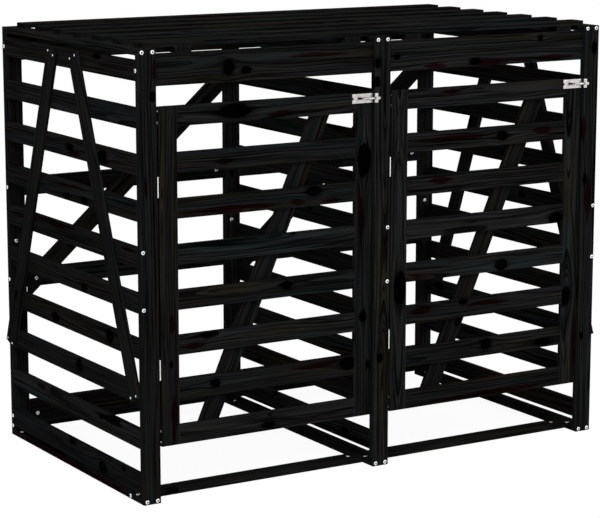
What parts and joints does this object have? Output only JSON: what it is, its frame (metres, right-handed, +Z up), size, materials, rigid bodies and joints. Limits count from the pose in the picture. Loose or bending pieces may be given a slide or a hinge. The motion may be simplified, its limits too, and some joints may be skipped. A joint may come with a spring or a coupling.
{
  "type": "bin store",
  "caption": "Double garden store for wheeled bins: slatted timber box with a slatted roof, a centre partition and two side-hung front doors with barrel bolts.",
  "frame": {"origin": "middle of the footprint, on the ground", "axes": "+X along the front to the viewer's right, +Y from the doors to the back, +Z up"},
  "size_m": [1.4264, 0.8134, 1.143],
  "materials": {
    "black_pine": "black stained sawn pine, matt to satin, grain and knots showing",
    "zinc": "bright zinc plated"
  },
  "bodies": {
    "frame": {"left_front_post": "black_pine", "left_back_post": "black_pine", "left_floor_batten": "black_pine", "left_top_batten": "black_pine", "left_slats": "black_pine", "middle_front_post": "black_pine", "middle_back_post": "black_pine", "middle_floor_batten": "black_pine", "middle_top_batten": "black_pine", "middle_slats": "black_pine", "right_front_post": "black_pine", "right_back_post": "black_pine", "right_floor_batten": "black_pine", "right_top_batten": "black_pine", "right_slats": "black_pine", "left_front_lath": "black_pine", "left_back_lath": "black_pine", "left_front_top_rail": "black_pine", "left_front_floor_rail": "black_pine", "left_back_top_rail": "black_pine", "left_back_upper_rail": "black_pine", "left_back_lower_rail": "black_pine", "left_back_bottom_rail": "black_pine", "left_back_brace": "black_pine", "right_front_lath": "black_pine", "right_back_lath": "black_pine", "right_front_top_rail": "black_pine", "right_front_floor_rail": "black_pine", "right_back_top_rail": "black_pine", "right_back_upper_rail": "black_pine", "right_back_lower_rail": "black_pine", "right_back_bottom_rail": "black_pine", "right_back_brace": "black_pine", "roof_slats": "black_pine", "roof_battens": "black_pine", "post_screws": "zinc", "rail_screws": "zinc", "small_frame_screws": "zinc", "left_post_hinge_leaves": "zinc", "left_hinge_pins": "zinc", "left_bolt_keeper": "zinc", "right_post_hinge_leaves": "zinc", "right_hinge_pins": "zinc", "right_bolt_keeper": "zinc"},
    "left_door": {"left_door_hinge_stile": "black_pine", "left_door_latch_stile": "black_pine", "left_door_slats": "black_pine", "left_door_brace": "black_pine", "left_door_hinge_leaves": "zinc", "left_bolt_plate": "zinc", "left_door_screws": "zinc"},
    "right_door": {"right_door_hinge_stile": "black_pine", "right_door_latch_stile": "black_pine", "right_door_slats": "black_pine", "right_door_brace": "black_pine", "right_door_hinge_leaves": "zinc", "right_bolt_plate": "zinc", "right_door_screws": "zinc"},
    "left_bolt": {"left_bolt_rod": "zinc"},
    "right_bolt": {"right_bolt_rod": "zinc"}
  },
  "joints": [
    {"name": "left_door_hinge", "type": "hinge", "parent": "frame", "child": "left_door", "pos_m": [-0.64825, -0.3881, 0], "axis": [0, 0, -1], "range_deg": [0, 110]},
    {"name": "right_door_hinge", "type": "hinge", "parent": "frame", "child": "right_door", "pos_m": [0.02825, -0.3881, 0], "axis": [0, 0, -1], "range_deg": [0, 110]},
    {"name": "left_bolt_slide", "type": "slide", "parent": "left_door", "child": "left_bolt", "axis": [1, 0, 0], "range_m": [0, 0.015]},
    {"name": "right_bolt_slide", "type": "slide", "parent": "right_door", "child": "right_bolt", "axis": [1, 0, 0], "range_m": [0, 0.015]}
  ]
}
